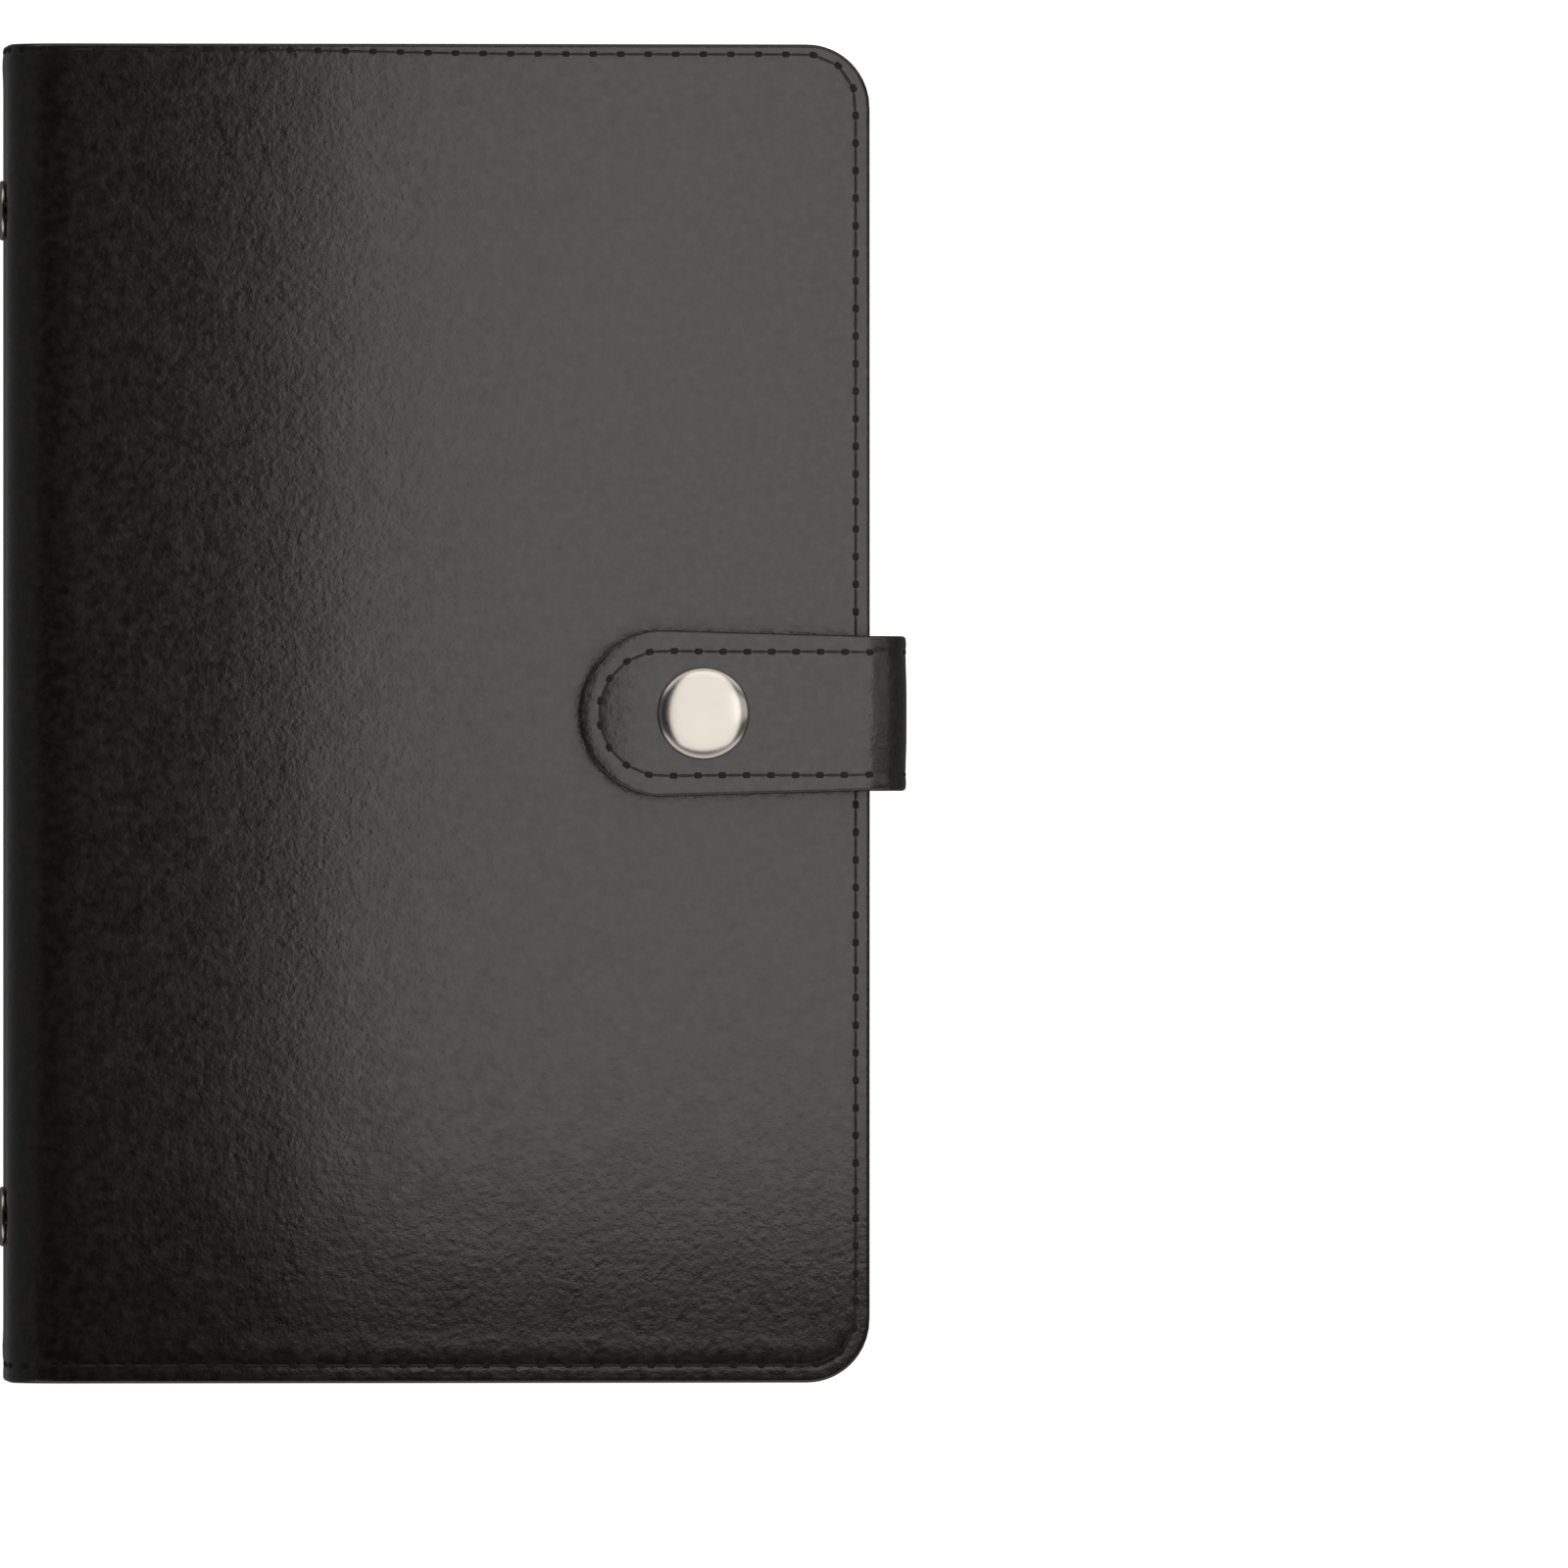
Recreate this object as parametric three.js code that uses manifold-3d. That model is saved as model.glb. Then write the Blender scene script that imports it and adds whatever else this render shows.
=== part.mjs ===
// Six-ring cash envelope wallet, closed and snapped, lying on its back cover.
// Millimetres, +Z up. The spine runs along Y at -X, the fore-edge is at +X.

import * as THREE from 'three';
import { mergeVertices } from 'three/addons/utils/BufferGeometryUtils.js';
import Module from 'manifold-3d';

const wasm = await Module();
wasm.setup();

// Jacket
const HEIGHT = 190;
const COVER_WIDTH = 122.3;
const THICKNESS = 30;
const SPINE_CURVE = 8.2;
const CORNER_R = 9;
const SKIN_T = 0.9;
const TURN_T = 0.85;
const TURN_WIDTH = 4;
const BOARD_T = 0.75;
const LINING_T = 0.8;
const LAYER_GAP = 0.05;
const LINING_INSET = 0.3;
const FOLD_GAP = 0.2;

// Card pockets inside the front cover
const POCKET_T = 0.6;
const POCKET_SLIT = 0.3;
const POCKET_WIDTH = 92;
const POCKET_TOPS = [43.5, 12.5];
const POCKET_EDGE_GAP = 4;
const POCKET_THUMB_R = 24;
const POCKET_THUMB_DROP = 6;
const POCKET_SEAM = 2.5;

// Strap and its snap
const STRAP_T = 1.6;
const STRAP_TAB_T = 0.65;
const STRAP_TAB_DEPTH = 8;
const STRAP_TIP_R = 11.8;
const STRAP_FOLD_HALF = 11;
const STRAP_REACH = 41.5;
const STRAP_OUTSTAND = 5.4;
const STRAP_LIFT = 2.55;
const STRAP_TIP_DROP = 1.5;
const SNAP_FROM_TIP = 17.5;
const SNAP_CAP_R = 6.55;
const SNAP_CAP_H = 2;
const SNAP_POST_R = 1.5;
const SNAP_CLEAR = 0.25;
const STUD_FLANGE_R = 5;
const STUD_FLANGE_H = 0.5;
const STUD_BALL_R = 2.3;
const STUD_TOP = 1.9;
const SOCKET_R = 5.8;
const SOCKET_LIFT = 0.75;
const BACKING_R = 4.6;
const BACKING_H = 0.6;

// Ring mechanism
const PLATE_LENGTH = 172;
const PLATE_HALF = 7.6;
const PLATE_RISE = 4.3;
const PLATE_T = 0.7;
const RING_R = 9.2;
const RING_CENTRE = 10.7;
const RING_BEND = 125;
const WIRE_R = 1.3;
const RING_TIP_GAP = 0.1;
const RING_PLACES = [-63.5, -44.5, -25.5, 25.5, 44.5, 63.5];
const LEG_CLEAR = 0.5;
const BLADE_PIVOT_X = 0.7;
const BLADE_PIVOT_Z = 7;
const BLADE_T = 0.9;
const BLADE_SLACK = 0.35;
const RIVET_PLACES = [-71.5, 71.5];
const RIVET_CAP_R = 4.25;
const RIVET_CAP_H = 1.3;
const RIVET_POST_R = 1.6;
const RIVET_HEAD_R = 2.8;
const RIVET_HEAD_H = 0.8;
const LEVER_WIDTH = 9;
const LEVER_T = 1;
const LEVER_TOE = 3.2;
const LEVER_TAIL = 5;
const LEVER_RISE = 6;

// Clear envelopes
const ENVELOPE_COUNT = 8;
const ENVELOPE_PITCH = 1.5;
const ENVELOPE_WIDTH = 98;
const ENVELOPE_HEIGHT = 172;
const FILM_T = 0.2;
const ENVELOPE_SLIT = 0.3;
const ENVELOPE_WELD = 2.2;
const BINDING_WIDTH = 13;
const ENVELOPE_CORNER = 5;
const HOLE_R = 3.25;
const HOLE_MARGIN = 5.5;
const HOLE_REST_GAP = 0.35;

const COVER_T = SKIN_T + TURN_T + LINING_T + LAYER_GAP;
const SPINE_X = -COVER_WIDTH / 2;
const FORE_X = COVER_WIDTH / 2;
const CURVE_X = SPINE_X + SPINE_CURVE;
const MID_Z = THICKNESS / 2;
const SPINE_INSIDE = SPINE_X + COVER_T;
const FAR = 40;

// Materials
const leather = (name) => material(name, 0x302e2c, 0.5, 0);
const lining = (name) => material(name, 0x1d1d1f, 0.75, 0);
const board = (name) => material(name, 0x8b8378, 0.9, 0);
const nickel = (name) => material(name, 0xcac6bf, 0.18, 1);
const clearFilm = (name) => {
  const film = material(name, 0xdfe5e8, 0.12, 0);
  film.transparent = true;
  film.opacity = 0.35;
  return film;
};

function material(name, color, roughness, metalness) {
  return new THREE.MeshStandardMaterial({ name, color, roughness, metalness });
}

// Solids
function solidOf(geometry) {
  const bare = geometry.clone();
  bare.deleteAttribute('normal');
  bare.deleteAttribute('uv');
  const merged = mergeVertices(bare, 1e-4);
  const position = merged.attributes.position.array;
  const index = Array.from(merged.index.array);
  if (signedVolume(position, index) < 0) {
    index.reverse();
  }
  return new wasm.Manifold(new wasm.Mesh({
    numProp: 3,
    vertProperties: new Float32Array(position),
    triVerts: new Uint32Array(index),
  }));
}

function signedVolume(position, index) {
  const corner = (i) => new THREE.Vector3().fromArray(position, 3 * index[i]);
  let volume = 0;
  for (let i = 0; i < index.length; i += 3) {
    volume += corner(i).dot(corner(i + 1).cross(corner(i + 2))) / 6;
  }
  return volume;
}

function geometryOf(solid) {
  const mesh = solid.getMesh();
  const geometry = new THREE.BufferGeometry();
  geometry.setAttribute('position', new THREE.BufferAttribute(mesh.vertProperties, 3));
  geometry.setIndex(new THREE.BufferAttribute(mesh.triVerts, 1));
  const flat = geometry.toNonIndexed();
  flat.computeVertexNormals();
  return flat;
}

// A closed outline in X and Z, drawn out along Y
function alongY(points, y0, y1) {
  const shape = new THREE.Shape(points.map(([x, z]) => new THREE.Vector2(x, z)));
  const geometry = new THREE.ExtrudeGeometry(shape, { depth: y1 - y0, bevelEnabled: false });
  geometry.rotateX(Math.PI / 2);
  geometry.translate(0, y1, 0);
  return solidOf(geometry);
}

// A closed outline in Y and Z, drawn out along X
function alongX(points, x0, x1) {
  const shape = new THREE.Shape(points.map(([y, z]) => new THREE.Vector2(y, z)));
  const geometry = new THREE.ExtrudeGeometry(shape, { depth: x1 - x0, bevelEnabled: false });
  geometry.rotateY(Math.PI / 2);
  geometry.rotateX(Math.PI / 2);
  geometry.translate(x0, 0, 0);
  return solidOf(geometry);
}

// A plan shape, drawn up along Z
function alongZ(shape, z0, z1, curveSegments = 6) {
  const options = { depth: z1 - z0, bevelEnabled: false, curveSegments };
  const geometry = new THREE.ExtrudeGeometry(shape, options);
  geometry.translate(0, 0, z0);
  return solidOf(geometry);
}

function box(x0, x1, y0, y1, z0, z1) {
  const geometry = new THREE.BoxGeometry(x1 - x0, y1 - y0, z1 - z0);
  geometry.translate((x0 + x1) / 2, (y0 + y1) / 2, (z0 + z1) / 2);
  return solidOf(geometry);
}

// A turned piece about Z through x, y. Its profile is given as radius and height.
function turned(profile, x, y, segments = 28) {
  const points = profile.map(([r, z]) => new THREE.Vector2(r, z));
  const geometry = new THREE.LatheGeometry(points, segments);
  geometry.rotateX(Math.PI / 2);
  geometry.translate(x, y, 0);
  return solidOf(geometry);
}

// A turned piece about a line along X at height y, z. Its profile is given as radius and x.
function turnedX(profile, y, z, segments = 24) {
  const points = profile.map(([r, x]) => new THREE.Vector2(r, x));
  const geometry = new THREE.LatheGeometry(points, segments);
  geometry.rotateZ(-Math.PI / 2);
  geometry.translate(0, y, z);
  return solidOf(geometry);
}

function pin(r, z0, z1, x, y, segments = 20) {
  return turned([[0, z0], [r, z0], [r, z1], [0, z1]], x, y, segments);
}

function arc(cx, cz, r, from, to, steps) {
  return Array.from({ length: steps + 1 }, (_, i) => {
    const a = THREE.MathUtils.degToRad(from + (to - from) * i / steps);
    return [cx + r * Math.cos(a), cz + r * Math.sin(a)];
  });
}

// Rectangle with rounded corners at +X. Those at -X are square unless spineR is given.
function panel(x0, x1, y0, y1, foreR, spineR = 0) {
  const shape = new THREE.Shape();
  shape.moveTo(x0 + spineR, y0);
  shape.lineTo(x1 - foreR, y0);
  shape.absarc(x1 - foreR, y0 + foreR, foreR, -Math.PI / 2, 0, false);
  shape.lineTo(x1, y1 - foreR);
  shape.absarc(x1 - foreR, y1 - foreR, foreR, 0, Math.PI / 2, false);
  shape.lineTo(x0 + spineR, y1);
  if (spineR > 0) shape.absarc(x0 + spineR, y1 - spineR, spineR, Math.PI / 2, Math.PI, false);
  shape.lineTo(x0, y0 + spineR);
  if (spineR > 0) shape.absarc(x0 + spineR, y0 + spineR, spineR, Math.PI, 1.5 * Math.PI, false);
  return shape;
}

// The jacket's outline seen from above, drawn in from its edge by inset
function outline(inset) {
  const half = HEIGHT / 2 - inset;
  return alongZ(panel(SPINE_X - FAR, FORE_X - inset, -half, half, CORNER_R - inset), -FAR, FAR + THICKNESS, 8);
}

// The jacket wall between two depths below its outer face, for one of its three panels
function wall(side, d0, d1, past = 0) {
  const gap = THREE.MathUtils.radToDeg(FOLD_GAP / 2 / (SPINE_CURVE - COVER_T / 2));
  const steps = 6;
  let path;
  if (side === 'spine') {
    path = (d) => [
      ...arc(CURVE_X, SPINE_CURVE, SPINE_CURVE - d, 225 - gap + past, 180, steps),
      ...arc(CURVE_X, THICKNESS - SPINE_CURVE, SPINE_CURVE - d, 180, 135 + gap - past, steps),
    ];
  } else {
    path = (d) => [
      ...arc(CURVE_X, THICKNESS - SPINE_CURVE, SPINE_CURVE - d, 135 - gap + past, 90, steps),
      [FORE_X + FAR, THICKNESS - d],
    ];
  }
  const ring = [...path(d0), ...path(d1).reverse()];
  const placed = side === 'back' ? ring.map(([x, z]) => [x, THICKNESS - z]).reverse() : ring;
  return alongY(placed, -HEIGHT / 2 - 1, HEIGHT / 2 + 1);
}

// Outer leather with its edges turned in, so that the board lies in a shallow tray
function skinOf(side) {
  const whole = wall(side, 0, SKIN_T + TURN_T).intersect(outline(0));
  const tray = wall(side, SKIN_T, SKIN_T + TURN_T + 1, 12).intersect(outline(TURN_WIDTH));
  return whole.subtract(tray);
}

function liningOf(side) {
  const depth = SKIN_T + TURN_T + LAYER_GAP;
  return wall(side, depth, depth + LINING_T).intersect(outline(LINING_INSET));
}

const BOARD_INSET = TURN_WIDTH + 0.3;
const boardHalf = HEIGHT / 2 - BOARD_INSET;
const boardDepth = SKIN_T + LAYER_GAP;

function coverBoard(z0) {
  const shape = panel(CURVE_X + 2, FORE_X - BOARD_INSET, -boardHalf, boardHalf, CORNER_R - TURN_WIDTH);
  return alongZ(shape, z0, z0 + BOARD_T);
}

// Snap
const TIP_X = FORE_X - STRAP_REACH;
const SNAP_X = TIP_X + SNAP_FROM_TIP;
const STRAP_UNDER = THICKNESS + STRAP_LIFT;
const STRAP_TOP = STRAP_UNDER + STRAP_T;
const INSIDE_TOP = THICKNESS - COVER_T;
const studHole = pin(SNAP_POST_R + SNAP_CLEAR, INSIDE_TOP - 2, THICKNESS + 1, SNAP_X, 0);

function snapStud() {
  const base = THICKNESS + LAYER_GAP;
  const neck = STUD_BALL_R - 0.5;
  return turned([
    [0, INSIDE_TOP - LAYER_GAP - BACKING_H + 0.15],
    [SNAP_POST_R, INSIDE_TOP - LAYER_GAP - BACKING_H + 0.15],
    [SNAP_POST_R, base],
    [STUD_FLANGE_R - 0.2, base],
    [STUD_FLANGE_R, base + 0.2],
    [STUD_FLANGE_R - 0.4, base + STUD_FLANGE_H],
    [neck + 0.2, base + STUD_FLANGE_H],
    [neck, base + STUD_FLANGE_H + 0.3],
    [STUD_BALL_R, base + STUD_FLANGE_H + 0.8],
    [STUD_BALL_R, base + STUD_TOP - 0.4],
    [STUD_BALL_R - 0.5, base + STUD_TOP],
    [0, base + STUD_TOP],
  ], SNAP_X, 0);
}

function snapBacking() {
  const top = INSIDE_TOP - LAYER_GAP;
  const bore = SNAP_POST_R + 0.1;
  return turned([
    [bore, top],
    [bore, top - BACKING_H],
    [BACKING_R - 0.5, top - BACKING_H],
    [BACKING_R, top - 0.3],
    [BACKING_R, top],
    [bore, top],
  ], SNAP_X, 0);
}

function snapSocket() {
  const low = THICKNESS + SOCKET_LIFT;
  const high = STRAP_UNDER - LAYER_GAP;
  const mouth = STUD_BALL_R + SNAP_CLEAR;
  return turned([
    [mouth, low + 0.2],
    [mouth + 0.3, low],
    [SOCKET_R - 0.4, low],
    [SOCKET_R, low + 0.4],
    [SOCKET_R, high - 0.3],
    [SOCKET_R - 0.4, high],
    [SNAP_POST_R + 0.1, high],
    [SNAP_POST_R + 0.1, high - 0.25],
    [mouth + 0.2, high - 0.25],
    [mouth, low + 0.2],
  ], SNAP_X, 0);
}

// Domed cap with a rolled rim, its post set through the strap into the socket
function snapCap() {
  const seat = STRAP_TOP + LAYER_GAP;
  const foot = STRAP_UNDER - LAYER_GAP - 0.2;
  const rim = 0.55;
  const rimArc = arc(SNAP_CAP_R - rim, seat + rim, rim, -60, 110, 6);
  const dome = Array.from({ length: 7 }, (_, i) => {
    const r = (SNAP_CAP_R - 2 * rim) * (1 - i / 6);
    const share = r / (SNAP_CAP_R - 2 * rim);
    return [r, seat + rim + 0.35 + (SNAP_CAP_H - rim - 0.35) * (1 - share * share)];
  });
  return turned([
    [0, foot],
    [SNAP_POST_R, foot],
    [SNAP_POST_R, seat],
    [SNAP_CAP_R - rim, seat],
    ...rimArc.slice(1),
    ...dome,
  ], SNAP_X, 0, 40);
}

// The strap's side view: a tab sewn into the back cover, a bend up the fore-edge, and a bend over the front
const STRAP_FACE = FORE_X + STRAP_OUTSTAND - STRAP_T / 2;
const TAB_Z = SKIN_T + TURN_T / 2;
const LOW_BEND = 3.8;
const HIGH_BEND = 6.2;
const strapMid = STRAP_UNDER + STRAP_T / 2;

function strapLine() {
  const low = arc(STRAP_FACE - LOW_BEND, TAB_Z + LOW_BEND, LOW_BEND, -90, 0, 6);
  const high = arc(STRAP_FACE - HIGH_BEND, strapMid - HIGH_BEND, HIGH_BEND, 0, 90, 8);
  const run = STRAP_FACE - HIGH_BEND - TIP_X;
  const droopFrom = SNAP_X - SOCKET_R - 1;
  const droop = Array.from({ length: 6 }, (_, i) => {
    const x = droopFrom - (droopFrom - TIP_X) * i / 5;
    const share = (droopFrom - x) / run;
    return [x, strapMid - STRAP_TIP_DROP * (share * run / (droopFrom - TIP_X)) ** 1.6];
  });
  return [
    [FORE_X - STRAP_TAB_DEPTH, TAB_Z],
    ...low,
    ...high,
    ...droop,
  ];
}

function strap() {
  const line = strapLine();
  const half = (x, z) => (z < TAB_Z + 0.01 ? STRAP_TAB_T / 2 : STRAP_T / 2);
  const sides = [1, -1].map((sign) => line.map(([x, z], i) => {
    const [ax, az] = line[Math.max(0, i - 1)];
    const [bx, bz] = line[Math.min(line.length - 1, i + 1)];
    const length = Math.hypot(bx - ax, bz - az);
    const h = sign * half(x, z);
    return [x + h * (bz - az) / length, z - h * (bx - ax) / length];
  }));
  const side = alongY([...sides[0], ...sides[1].reverse()], -20, 20);
  const plan = new THREE.Shape();
  const tipCentre = TIP_X + STRAP_TIP_R;
  plan.absarc(tipCentre, 0, STRAP_TIP_R, Math.PI / 2, 1.5 * Math.PI, false);
  plan.lineTo(FORE_X, -STRAP_FOLD_HALF);
  plan.lineTo(FORE_X + FAR, -STRAP_FOLD_HALF);
  plan.lineTo(FORE_X + FAR, STRAP_FOLD_HALF);
  plan.lineTo(FORE_X, STRAP_FOLD_HALF);
  const hole = pin(SNAP_POST_R + SNAP_CLEAR, STRAP_UNDER - 1, STRAP_TOP + 1, SNAP_X, 0);
  return side.intersect(alongZ(plan, -FAR, THICKNESS + FAR, 12)).subtract(hole);
}

// The slot in the back cover that the strap's tab is sewn into
function tabSlot() {
  const half = STRAP_TIP_R + 0.1;
  const half2 = STRAP_TAB_T / 2 + 0.08;
  return box(FORE_X - STRAP_TAB_DEPTH - 0.4, FORE_X + 1, -half, half, TAB_Z - half2, TAB_Z + half2);
}

// Card pockets: two stepped panels sewn over the front cover's lining, each open along its top
function cardPocket(level) {
  const top = POCKET_TOPS[level];
  const z1 = INSIDE_TOP - 0.1 - level * (POCKET_T + POCKET_SLIT + 0.1);
  const x1 = FORE_X - POCKET_EDGE_GAP;
  const x0 = x1 - POCKET_WIDTH;
  const y0 = -HEIGHT / 2 + POCKET_EDGE_GAP;
  const depth = POCKET_T + POCKET_SLIT;
  const middle = (x0 + x1) / 2;
  const thumbRise = POCKET_THUMB_R - POCKET_THUMB_DROP;
  const from = -Math.asin(thumbRise / POCKET_THUMB_R);
  const shape = new THREE.Shape();
  shape.moveTo(x0, y0);
  shape.lineTo(x1, y0);
  shape.lineTo(x1, top);
  shape.absarc(middle, top + thumbRise, POCKET_THUMB_R, from, -Math.PI - from, true);
  shape.lineTo(x0, top);
  const backing = new THREE.Path();
  backing.absarc(SNAP_X, 0, BACKING_R + 0.5, 0, 2 * Math.PI, true);
  shape.holes.push(backing);
  const slit = box(
    x0 + POCKET_SEAM, x1 - POCKET_SEAM, y0 + POCKET_SEAM, top + 1, z1 - POCKET_SLIT, z1 + 1,
  );
  return alongZ(shape, z1 - depth, z1, 8).subtract(slit);
}

// Ring mechanism, drawn in the spine's own frame: u out from the spine's inside, v from mid height
const archR = (PLATE_HALF ** 2 + PLATE_RISE ** 2) / (2 * PLATE_RISE);
const archMid = PLATE_RISE - archR;
const PLATE_SEAT = 0.15;
const place = ([u, v]) => [SPINE_INSIDE + PLATE_SEAT + u, MID_Z + v];

function archLine(r) {
  const reach = THREE.MathUtils.radToDeg(Math.acos(-archMid / r));
  return arc(archMid, 0, r, -reach, reach, 16);
}

function legLine(clear) {
  const [, out] = ringLine(1);
  const [u0, v0] = out[out.length - 2];
  const [u1, v1] = out[out.length - 1];
  const length = Math.hypot(u1 - u0, v1 - v0);
  const n = [-(v1 - v0) / length * (WIRE_R + clear), (u1 - u0) / length * (WIRE_R + clear)];
  return [[u0 + n[0], v0 + n[1]], [u1 + n[0], v1 + n[1]], [u1 - n[0], v1 - n[1]], [u0 - n[0], v0 - n[1]]];
}

const LEG_FOOT = BLADE_PIVOT_X + BLADE_T / 2 + 0.05;

// One half ring's centre line: an arc from the meeting tip, then a straight leg to its blade
function ringLine(side) {
  const bent = arc(RING_CENTRE, 0, RING_R, -3, RING_BEND, 14);
  const [u, v] = bent[bent.length - 1];
  const a = THREE.MathUtils.degToRad(RING_BEND);
  const run = (u - LEG_FOOT + WIRE_R) / Math.sin(a);
  const legs = [0.5, 1].map((t) => [u - Math.sin(a) * run * t, v + Math.cos(a) * run * t]);
  const line = [...bent, ...legs];
  return [line.map(([lu, lv]) => [lu, side * lv]), line];
}

function ringPlate() {
  const outer = archLine(archR);
  const inner = archLine(archR - PLATE_T);
  const base = Math.min(outer[0][0], inner[0][0]);
  const section = [...outer, ...inner.reverse()].map(([u, v]) => place([u - base, v]));
  let plate = alongY(section, -PLATE_LENGTH / 2, PLATE_LENGTH / 2);
  for (const y of RING_PLACES) {
    const leg = legLine(LEG_CLEAR);
    for (const sign of [1, -1]) {
      const slot = leg.map(([u, v]) => place([u, sign * v]));
      plate = plate.subtract(alongY(slot, y - WIRE_R - LEG_CLEAR, y + WIRE_R + LEG_CLEAR));
    }
  }
  const crown = place([PLATE_RISE, 0])[0];
  for (const y of RIVET_PLACES) {
    const bore = RIVET_POST_R + 0.15;
    plate = plate.subtract(turnedX([[0, SPINE_X], [bore, SPINE_X], [bore, crown + 2], [0, crown + 2]], y, MID_Z));
  }
  return plate;
}

// A blade that carries six half rings, notched round the rivets
function blade(side) {
  const v0 = BLADE_SLACK;
  const v1 = BLADE_PIVOT_Z - 1.4;
  const half = BLADE_T / 2;
  const end = PLATE_LENGTH / 2 - 3.5;
  const section = [
    [BLADE_PIVOT_X - half, side * v0],
    [BLADE_PIVOT_X + half, side * v0],
    [BLADE_PIVOT_X + half, side * (v1 - 0.7)],
    [BLADE_PIVOT_X, side * v1],
    [BLADE_PIVOT_X - half, side * v1],
  ].map(place);
  let strip = alongY(section, -end, end);
  for (const y of RIVET_PLACES) {
    const notch = RIVET_HEAD_R + 0.4;
    strip = strip.subtract(box(SPINE_INSIDE, SPINE_INSIDE + 3, y - notch, y + notch, MID_Z - 3.1, MID_Z + 3.1));
  }
  return strip;
}

class HalfRingCurve extends THREE.Curve {
  constructor(points) {
    super();
    this.points = points;
    const lengths = points.map((p, i) => (i ? p.distanceTo(points[i - 1]) : 0));
    this.ends = lengths.map((_, i) => lengths.slice(0, i + 1).reduce((a, b) => a + b, 0));
  }

  getPoint(t, target = new THREE.Vector3()) {
    const s = t * this.ends[this.ends.length - 1];
    const i = Math.max(1, this.ends.findIndex((end) => end >= s - 1e-9));
    const part = (s - this.ends[i - 1]) / (this.ends[i] - this.ends[i - 1]);
    return target.lerpVectors(this.points[i - 1], this.points[i], part);
  }
}

function halfRing(side, y) {
  const points = ringLine(side)[0].map(place).map(([x, z]) => new THREE.Vector3(x, y, z));
  const wire = new THREE.Shape();
  wire.absarc(0, 0, WIRE_R, 0, 2 * Math.PI, false);
  const geometry = new THREE.ExtrudeGeometry(wire, {
    steps: 15,
    curveSegments: 6,
    extrudePath: new HalfRingCurve(points),
  });
  const [footX] = place([LEG_FOOT, 0]);
  const meet = MID_Z + side * RING_TIP_GAP / 2;
  const [low, high] = side > 0 ? [meet - 9, meet] : [meet, meet + 9];
  return solidOf(geometry)
    .subtract(box(footX - 10, footX, y - 5, y + 5, 0, THICKNESS))
    .subtract(box(footX + 5, footX + 40, y - 5, y + 5, low, high));
}

function rivet(y) {
  const crown = place([PLATE_RISE, 0])[0] + LAYER_GAP;
  const cap = SPINE_X - LAYER_GAP;
  const dome = Array.from({ length: 6 }, (_, i) => {
    const r = RIVET_CAP_R * i / 5;
    return [r, cap - 0.35 - (RIVET_CAP_H - 0.35) * (1 - (i / 5) ** 2)];
  });
  return turnedX([
    ...dome,
    [RIVET_CAP_R, cap],
    [RIVET_POST_R, cap],
    [RIVET_POST_R, crown],
    [RIVET_HEAD_R, crown],
    [RIVET_HEAD_R - 0.5, crown + RIVET_HEAD_H],
    [0, crown + RIVET_HEAD_H],
  ], y, MID_Z);
}

function rivetHoles(solid) {
  const bore = RIVET_POST_R + 0.15;
  const from = SPINE_X - 2;
  return RIVET_PLACES.reduce((left, y) => left.subtract(
    turnedX([[0, from], [bore, from], [bore, SPINE_INSIDE + 1], [0, SPINE_INSIDE + 1]], y, MID_Z),
  ), solid);
}

// Opening lever at one end of the plate: a toe under the blades and a thumb tab that rises past the plate
const LEVER_PIVOT_Y = PLATE_LENGTH / 2 + 0.6;
const LEVER_PIVOT_U = 1.4;

function lever(end) {
  const lineUp = [
    [-LEVER_TOE, -0.85],
    [0, 0],
    [1.2, 0.8],
    [2.2, 2.6],
    [LEVER_TAIL - 1.6, LEVER_RISE - 0.6],
    [LEVER_TAIL, LEVER_RISE],
  ];
  const sides = [1, -1].map((sign) => lineUp.map(([t, u], i) => {
    const [a, b] = [lineUp[Math.max(0, i - 1)], lineUp[Math.min(lineUp.length - 1, i + 1)]];
    const length = Math.hypot(b[0] - a[0], b[1] - a[1]);
    const h = sign * LEVER_T / 2 * (i === 0 ? 0.6 : 1);
    return [t - h * (b[1] - a[1]) / length, u + h * (b[0] - a[0]) / length];
  }));
  const [x0] = place([LEVER_PIVOT_U, 0]);
  const points = [...sides[0], ...sides[1].reverse()]
    .map(([t, u]) => new THREE.Vector2(x0 + u, end * (LEVER_PIVOT_Y + t)));
  const shape = new THREE.Shape(points);
  const geometry = new THREE.ExtrudeGeometry(shape, { depth: LEVER_WIDTH, bevelEnabled: false });
  geometry.translate(0, 0, MID_Z - LEVER_WIDTH / 2);
  const body = solidOf(geometry);
  const [under] = place([0, 0]);
  const toeHalf = archInnerHalf(1.2);
  const trim = [
    [end * (LEVER_PIVOT_Y - 8), MID_Z - 20], [end * (PLATE_LENGTH / 2 + 0.3), MID_Z - 20],
    [end * (PLATE_LENGTH / 2 + 0.3), MID_Z - toeHalf], [end * (LEVER_PIVOT_Y - 8), MID_Z - toeHalf],
  ];
  const cut = alongX(trim, under - 1, under + 6);
  const mirrored = alongX(trim.map(([y, z]) => [y, 2 * MID_Z - z]), under - 1, under + 6);
  return body.subtract(cut).subtract(mirrored);
}

// Half the clear width under the arch at height u
function archInnerHalf(u) {
  const base = archLine(archR)[0][0];
  return Math.sqrt((archR - PLATE_T) ** 2 - (u + Math.min(base, 0) - archMid) ** 2) - 1.2;
}

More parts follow.
